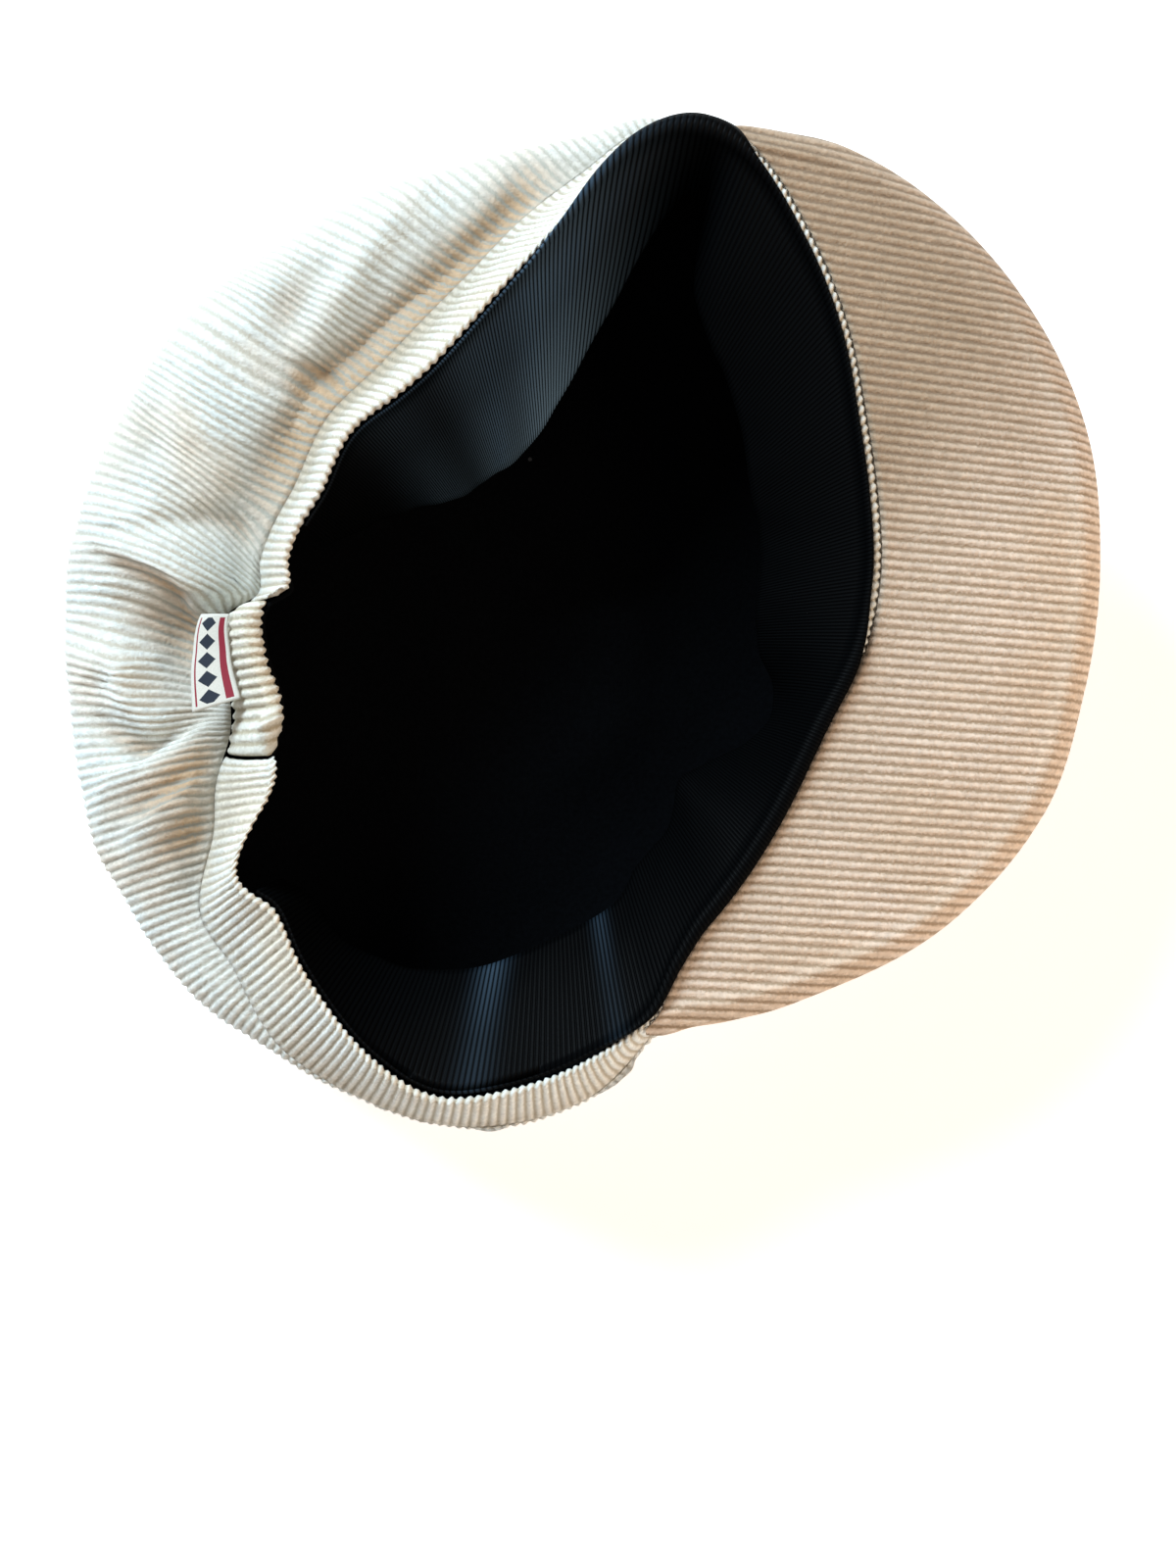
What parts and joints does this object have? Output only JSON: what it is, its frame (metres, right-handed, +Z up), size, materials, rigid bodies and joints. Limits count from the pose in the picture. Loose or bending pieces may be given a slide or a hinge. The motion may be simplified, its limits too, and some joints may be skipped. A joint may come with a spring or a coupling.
{
  "type": "sailor cap",
  "caption": "Soft corduroy sailor cap with a stiff peak, ribbon sweatband and gathered elastic back, lying upside down on its crown.",
  "frame": {"origin": "on the resting flat of the crown, under the middle of the cap", "axes": "+Z up out of the head opening, +X towards the peak, +Y towards the cap's left side as it lies upside down"},
  "size_m": [0.2356, 0.2356, 0.0741],
  "materials": {
    "corduroy": "cut wale pile",
    "peak_corduroy": "cut wale pile over a board",
    "black_ribbon": "ribbed grosgrain",
    "black_knit": "brushed knit",
    "label_weave": "woven label"
  },
  "bodies": {
    "root": {"crown_top": "corduroy", "crown_side": "corduroy", "band": "corduroy", "elastic_casing": "corduroy", "peak": "peak_corduroy", "sweatband": "black_ribbon", "lining": "black_knit", "label": "label_weave"}
  },
  "joints": []
}
